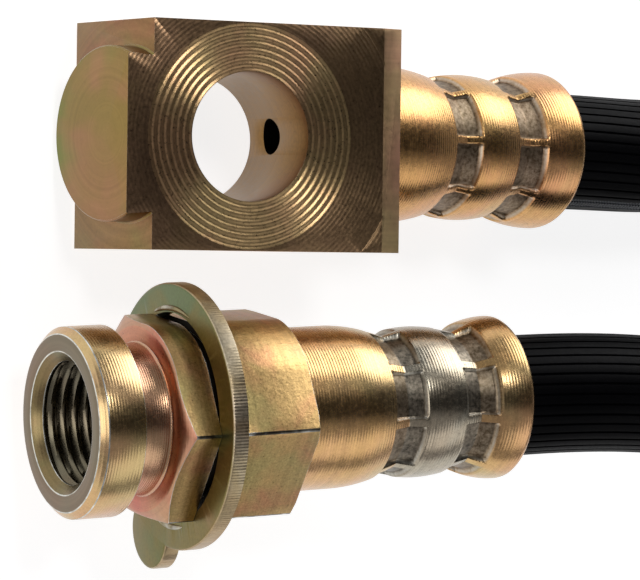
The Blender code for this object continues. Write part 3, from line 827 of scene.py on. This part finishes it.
bar_low = (SHOULDER, -BAR_HEIGHT / 2, -BAR_THICKNESS / 2)
bar_high = (BLOCK_SHELL_START, BAR_HEIGHT / 2, BAR_THICKNESS / 2)
block = finish_of(cut_block("block_body", bar_low, bar_high), bar_skin)
paint(block, shoulder_skin, lambda x, radius: x < SHOULDER + 0.01)
boss = lathe("boss", [(BOSS_END, 0), (BOSS_END, BOSS_RADIUS - 0.12), (BOSS_END + 0.12, BOSS_RADIUS),
                      (SHOULDER - 0.15, BOSS_RADIUS), (SHOULDER, BOSS_RADIUS + 0.15),
                      (SHOULDER + 1, BOSS_RADIUS + 0.15), (SHOULDER + 1, 0)])
work(block, finish_of(boss, boss_skin), "UNION")
settle(block, BLOCK_PLACE)


def serrations(height):
    """Outline of the facing tool: rings that it leaves round the bore, then a flat."""
    outline = [(OUTSIDE, 0), (height, 0), (height, BORE_RADIUS - 0.4)]
    rings = round((SERRATION_RADIUS - BORE_RADIUS) / SERRATION_PITCH)
    steps = rings * STEPS_PER_SERRATION
    for k in range(steps + 1):
        radius = BORE_RADIUS + (SERRATION_RADIUS - BORE_RADIUS) * k / steps
        depth = SERRATION_DEPTH * (0.5 - 0.5 * math.cos(math.tau * k / STEPS_PER_SERRATION))
        outline.append((height - depth, radius))
    circle = [(height, TOOL_CIRCLE_RADIUS - 0.09), (height - TOOL_CIRCLE_DEPTH, TOOL_CIRCLE_RADIUS),
              (height, TOOL_CIRCLE_RADIUS + 0.09)]
    return outline + circle + [(height, FACING_RADIUS), (OUTSIDE, FACING_RADIUS), (OUTSIDE, 0)]


facing = finish_of(lathe("facing", serrations(FRONT_SEAT)), milled_face)
paint(facing, ring_skin, lambda x, radius: radius < SERRATION_RADIUS)
settle(facing, BORE_PLACE)
work(block, facing, "DIFFERENCE")
back_facing = lathe("back_facing", rod(BACK_SEAT, -OUTSIDE, BACK_FACING_RADIUS))
settle(finish_of(back_facing, milled_face), BORE_PLACE)
work(block, back_facing, "DIFFERENCE")
bore = finish_of(lathe("bore", [
    (-OUTSIDE, 0), (-OUTSIDE, BORE_RADIUS), (DRILL_MARK, BORE_RADIUS),
    (DRILL_MARK + 0.1, BORE_RADIUS - 0.03), (OUTSIDE, BORE_RADIUS - 0.03), (OUTSIDE, 0),
    (-OUTSIDE, 0)]), bore_painted_shade)
paint(bore, bore_rear, lambda x, radius: -10 < x < DRILL_MARK)
settle(bore, BORE_PLACE)
work(block, bore, "DIFFERENCE")
# The cross port is lined near black, as painted shade inside it.
cross_port = lathe("cross_port", rod(0, CROSS_PORT_LENGTH, CROSS_PORT_RADIUS), 64)
settle(finish_of(cross_port, painted_shade_hole), BLOCK_PLACE @ Matrix.Translation(CROSS_PORT_OFFSET))
work(block, cross_port, "DIFFERENCE")
break_edges(block, 0.11, worn_edge, 38)
outward(block, 30)
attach(block, "root")
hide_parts("banjo_block_end")


# The female end: turned from hexagon bar, with a threaded collar that the brake pipe's nut screws
# into, a groove behind it for the spring clip, and the hexagon that the locating plate sits on.

COLLAR_RADIUS = 7.875
COLLAR_END = 3.9
CHAMFER = 0.6
MOUTH_RADIUS = 5.85
THREAD_CREST = 5.05
THREAD_ROOT = 5.62
THREAD_PITCH = 25.4 / 24
THREAD_START = 0.8
THREAD_END = 11.0
THREAD_RELIEF = 4.9
SEAT_TIP = 11.5
SEAT_FOOT = 13
PIPE_BORE = 1.2
GROOVE_RADIUS = 6.25
HEX_FACE = 6.95
HEX_END = FEMALE_SHELL_START
HEX_APOTHEM = 7.9375
HEX_REACH = HEX_APOTHEM / math.cos(math.pi / 6)
HEX_FRONT_RADIUS = 7.65
HEX_ROLL = math.radians(-7)
WORN_CORNER = math.radians(53)
WORN_CORNER_REACH = 3.9
PLATE_FACE = 10.05
PLATE_BACK = 11.4
RELIEF_RADIUS = 7.1


def select_corner(piece, direction, distance):
    """Select the edges that lie further out than distance in a direction."""
    for vertex in piece.data.vertices:
        vertex.select = vertex.co.dot(direction) > distance
    for edge in piece.data.edges:
        edge.select = all(piece.data.vertices[v].select for v in edge.vertices)


def hexagon(name, start, end):
    """Length of hexagon bar, with one long corner that is rounded over."""
    bpy.ops.object.select_all(action="DESELECT")
    bpy.ops.mesh.primitive_cylinder_add(vertices=6, radius=HEX_REACH * MM, depth=(end - start) * MM)
    piece = bpy.context.object
    piece.name = piece.data.name = name
    settle(piece, (Matrix.Translation(((start + end) / 2 * MM, 0, 0))
                   @ Matrix.Rotation(math.pi / 6 - HEX_ROLL, 4, "X")
                   @ Matrix.Rotation(math.pi / 2, 4, "Y")))
    bpy.ops.object.mode_set(mode="EDIT")
    bpy.ops.mesh.select_all(action="DESELECT")
    bpy.ops.object.mode_set(mode="OBJECT")
    corner = Vector((0, math.sin(WORN_CORNER), math.cos(WORN_CORNER)))
    select_corner(piece, corner, HEX_APOTHEM * MM)
    bpy.ops.object.mode_set(mode="EDIT")
    bpy.ops.mesh.bevel(offset=WORN_CORNER_REACH * MM, segments=16, affect="EDGES")
    bpy.ops.object.mode_set(mode="OBJECT")
    return piece


hex_skin = plating("hex_skin", FEMALE_PLACE, gold=(0.44, 0.29, 0.12), rose=(0.44, 0.21, 0.11),
                   green=(0.32, 0.30, 0.12), rose_amount=0.8, green_amount=0.5, patch=200.0,
                   mottle=1.2, specks=0.5, roughness=0.34, groove=0.3, pits=34.0)
turned_hex = plating("turned_hex", FEMALE_PLACE, gold=(0.50, 0.22, 0.13), rose=(0.50, 0.16, 0.12),
                     rose_amount=1.0, green_amount=0.1, roughness=0.3, lines="out", pitch=0.22,
                     groove=5.0)
chamfer_skin = plating("chamfer_skin", FEMALE_PLACE, gold=(0.48, 0.26, 0.16),
                       rose=(0.50, 0.18, 0.13), rose_amount=0.8, green_amount=0.1,
                       roughness=0.32, lines="out", pitch=0.22, groove=4.0)
collar_skin = plating("collar_skin", FEMALE_PLACE, gold=(0.54, 0.35, 0.17), rose=(0.56, 0.28, 0.18),
                      green=(0.42, 0.40, 0.18), rose_amount=0.5, green_amount=0.35, mottle=0.5,
                      specks=0.1, roughness=0.26, pitch=0.26, groove=14.0, brushed=0.4)
mouth_ring = plating("mouth_ring", FEMALE_PLACE, gold=(0.19, 0.14, 0.09), rose=(0.20, 0.12, 0.075),
                     green=(0.15, 0.15, 0.09), rose_amount=0.4, green_amount=0.4, roughness=0.34,
                     mottle=0.2, lines="out", pitch=0.3, groove=1.0)
groove_skin = plating("groove_skin", FEMALE_PLACE, gold=(0.50, 0.29, 0.18), rose=(0.50, 0.21, 0.16),
                      rose_amount=0.7, green_amount=0.1, mottle=0.3, roughness=0.26, pitch=0.2,
                      groove=10.0)
# The port's wall and the cone at its mouth are darker copies of the collar's plating: painted shade
# inside the port.
port_painted_shade = plating("port_painted_shade", FEMALE_PLACE, gold=(0.16, 0.14, 0.10), rose=(0.18, 0.12, 0.07),
                    green=(0.12, 0.13, 0.08), rose_amount=0.4, green_amount=0.3, roughness=0.28,
                    groove=0.5)
mouth_cone_painted_shade = plating("mouth_cone_painted_shade", FEMALE_PLACE, gold=(0.20, 0.15, 0.07), rose=(0.22, 0.13, 0.07),
                     green=(0.13, 0.14, 0.06), rose_amount=0.5, green_amount=0.5, patch=200.0,
                     roughness=0.3, lines="out", pitch=0.2, groove=4.0)
# Near black with silver patches on the bevels of the hexagon's corners: painted shade along the
# corner lines, with painted glints.
corner_painted_shade_and_glints = plating("corner_painted_shade_and_glints", FEMALE_PLACE, gold=(0.06, 0.05, 0.04), rose=SILVER,
                     green=(0.1, 0.09, 0.07), rose_amount=1.0, green_amount=0.8, patch=420.0,
                     roughness=0.32, groove=0.5)

slope = (HEX_REACH - HEX_FRONT_RADIUS) / 0.85
full_radius = HEX_FRONT_RADIUS + 1.2 * slope
bar = finish_of(hexagon("female_hexagon", HEX_FACE - 0.5, HEX_END + 0.5), hex_skin)
break_edges(bar, 0.16, corner_painted_shade_and_glints, 40)
trim = finish_of(lathe("trim", [
    (HEX_FACE, 0), (HEX_FACE, HEX_FRONT_RADIUS), (HEX_FACE + 1.2, full_radius),
    (HEX_END - 0.4, full_radius), (HEX_END, 8.6), (HEX_END, 0), (HEX_FACE, 0)]), turned_hex)
paint(trim, chamfer_skin, lambda x, radius: x > HEX_FACE + 0.1)
work(bar, trim, "INTERSECT")
# The relief is lined near black, as painted shadow in the gap between the hexagon and the plate's
# hole.
relief = lathe("relief", [
    (PLATE_FACE - 0.03, RELIEF_RADIUS), (PLATE_BACK - 0.1, RELIEF_RADIUS), (PLATE_BACK - 0.1, 12),
    (PLATE_FACE - 0.03, 12), (PLATE_FACE - 0.03, RELIEF_RADIUS)])
work(bar, finish_of(relief, painted_shade_hole), "DIFFERENCE")
neck_hole = lathe("neck_hole", rod(0, OUTSIDE, GROOVE_RADIUS))
work(bar, finish_of(neck_hole, groove_skin), "DIFFERENCE")
break_edges(bar, 0.04, worn_edge, 32)
settle(bar, FEMALE_PLACE)
outward(bar, 30)


def ported_collar():
    """Collar, groove and neck in one turning, with the port and its thread inside."""
    outside = [(0, MOUTH_RADIUS), (0, COLLAR_RADIUS - CHAMFER), (CHAMFER, COLLAR_RADIUS),
               (COLLAR_END, COLLAR_RADIUS), (COLLAR_END, GROOVE_RADIUS + 0.2),
               (COLLAR_END + 0.03, GROOVE_RADIUS + 0.1), (COLLAR_END + 0.1, GROOVE_RADIUS + 0.03),
               (COLLAR_END + 0.2, GROOVE_RADIUS), (HEX_FACE - 0.2, GROOVE_RADIUS),
               (HEX_FACE - 0.1, GROOVE_RADIUS + 0.03), (HEX_FACE - 0.03, GROOVE_RADIUS + 0.1),
               (HEX_FACE + 0.02, GROOVE_RADIUS + 0.2), (HEX_FACE + 0.3, GROOVE_RADIUS + 0.2),
               (18.9, GROOVE_RADIUS + 0.1)]
    seat = [(18.9, PIPE_BORE), (SEAT_TIP, PIPE_BORE), (SEAT_TIP, 2.0), (SEAT_FOOT, 3.5),
            (SEAT_FOOT, THREAD_RELIEF), (THREAD_END + 0.3, THREAD_RELIEF)]
    count = round((THREAD_END - THREAD_START) / THREAD_PITCH * 8)
    thread = [(THREAD_END + (THREAD_START - THREAD_END) * k / count, THREAD_CREST)
              for k in range(count + 1)]
    return lathe("female_body", outside + seat + thread + [(0, MOUTH_RADIUS)])


def cut_thread(piece):
    """Press the plain wall of the port out between crests that climb once for each turn."""
    for vertex in piece.data.vertices:
        x, y, z = vertex.co / MM
        radius = math.hypot(y, z)
        if not THREAD_START + 0.01 < x < THREAD_END - 0.01 or radius > THREAD_CREST + 0.05:
            continue
        turn = (x / THREAD_PITCH - math.atan2(y, z) / math.tau) % 1
        lift = (THREAD_ROOT - THREAD_CREST) * min(1, max(0, 1.35 * (1 - abs(2 * turn - 1)) - 0.15))
        lift *= min(ease((x - THREAD_START) / 0.8), ease((THREAD_END - x) / 0.8))
        vertex.co.y *= (radius + lift) / radius
        vertex.co.z *= (radius + lift) / radius


body = finish_of(ported_collar(), collar_skin)
paint(body, mouth_ring, lambda x, radius: x < 0.01)
paint(body, groove_skin, lambda x, radius: x > COLLAR_END - 0.01 and radius > 6)
paint(body, port_painted_shade, lambda x, radius: radius < 5.9 and x > THREAD_START)
paint(body, mouth_cone_painted_shade, lambda x, radius: radius < 5.9 and 0.01 < x < THREAD_START)
break_edges(body, 0.06, worn_edge, 40)
cut_thread(body)
settle(body, FEMALE_PLACE)
outward(body, 30)
for piece in (bar, body):
    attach(piece, "root")
    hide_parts("female_threaded_end")


# The locating plate: a stamped steel disc, sheared round its rim, with one tab that turns it the
# right way in the car's bracket. It sits round a relief in the hexagon and is staked in place.

PLATE_RADIUS = 11.08
HOLE_RADIUS = 8.65
TAB_RADIUS = 3.19
TAB_REACH = 10.9
TAB_DIRECTION = math.radians(244.7)
BURR_SIZE = (0.16, 0.25)
LONG_BURR = {"direction": math.radians(86), "reach": 9.0, "width": 6.4}
SHORT_BURR = {"direction": math.radians(265), "reach": 9.15, "width": 4.6}

plate_skin = plating("plate_skin", FEMALE_PLACE, gold=(0.19, 0.15, 0.05), rose=(0.27, 0.17, 0.08),
                     green=(0.12, 0.16, 0.075), rose_amount=0.8, green_amount=0.9, patch=130.0,
                     mottle=0.7, roughness=0.34, groove=0.3, pits=8.0)
sheared_rim = plating("sheared_rim", FEMALE_PLACE, gold=(0.36, 0.28, 0.16), rose=(0.36, 0.23, 0.12),
                      green=SILVER, rose_amount=0.7, green_amount=0.25, patch=160.0, mottle=0.9,
                      specks=0.3, roughness=0.32, lines="round", pitch=0.26, groove=24.0,
                      unevenness=0.6)
staked_burr = plating("staked_burr", FEMALE_PLACE, gold=(0.26, 0.21, 0.10), rose=(0.14, 0.11, 0.06),
                      green=SILVER, rose_amount=0.8, green_amount=0.4, patch=700.0, groove=0.3,
                      pits=10.0)


def stamped(name, radius, inner, steps):
    """Outline of a blank: rounded where the punch drew the edge in, sharp at the back."""
    disc = lathe(name, [
        (PLATE_FACE, inner), (PLATE_FACE, radius - 0.3), (PLATE_FACE + 0.04, radius - 0.12),
        (PLATE_FACE + 0.12, radius - 0.03), (PLATE_FACE + 0.28, radius), (PLATE_BACK, radius),
        (PLATE_BACK, inner), (PLATE_FACE, inner)], steps)
    finish_of(disc, plate_skin)
    paint(disc, sheared_rim, lambda x, r: r > radius - 0.08 and PLATE_FACE + 0.05 < x)
    return disc


def burr(direction, reach, width):
    """Lip of metal that staking pushed up from the plate beside the hexagon."""
    bpy.ops.object.select_all(action="DESELECT")
    bpy.ops.mesh.primitive_uv_sphere_add(segments=48, ring_count=24, radius=MM)
    lip = bpy.context.object
    bpy.ops.object.mode_set(mode="EDIT")
    bpy.ops.mesh.select_all(action="SELECT")
    bpy.ops.transform.resize(value=(BURR_SIZE[0], width / 2, BURR_SIZE[1]))
    bpy.ops.object.mode_set(mode="OBJECT")
    for vertex in lip.data.vertices:
        vertex.co.z -= vertex.co.y ** 2 / (2 * reach * MM)
    settle(lip, Matrix.Rotation(-direction, 4, "X")
           @ Matrix.Translation((PLATE_FACE * MM, 0, reach * MM)))
    return finish_of(lip, staked_burr)


plate = stamped("locating_disc", PLATE_RADIUS, HOLE_RADIUS, 240)
tab = stamped("tab", TAB_RADIUS, 0, 96)
settle(tab, Matrix.Translation((0, TAB_REACH * math.sin(TAB_DIRECTION) * MM,
                                TAB_REACH * math.cos(TAB_DIRECTION) * MM)))
work(plate, tab, "UNION")
for lip in (LONG_BURR, SHORT_BURR):
    work(plate, burr(**lip), "UNION")
clear_hole = lathe("clear_hole", rod(PLATE_FACE - 1, PLATE_BACK + 1, HOLE_RADIUS), 240)
work(plate, finish_of(clear_hole, plate_skin), "DIFFERENCE")
break_edges(plate, 0.05, worn_edge, 50)
settle(plate, FEMALE_PLACE)
outward(plate, 30)
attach(plate, "root")
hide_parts("locating_plate")
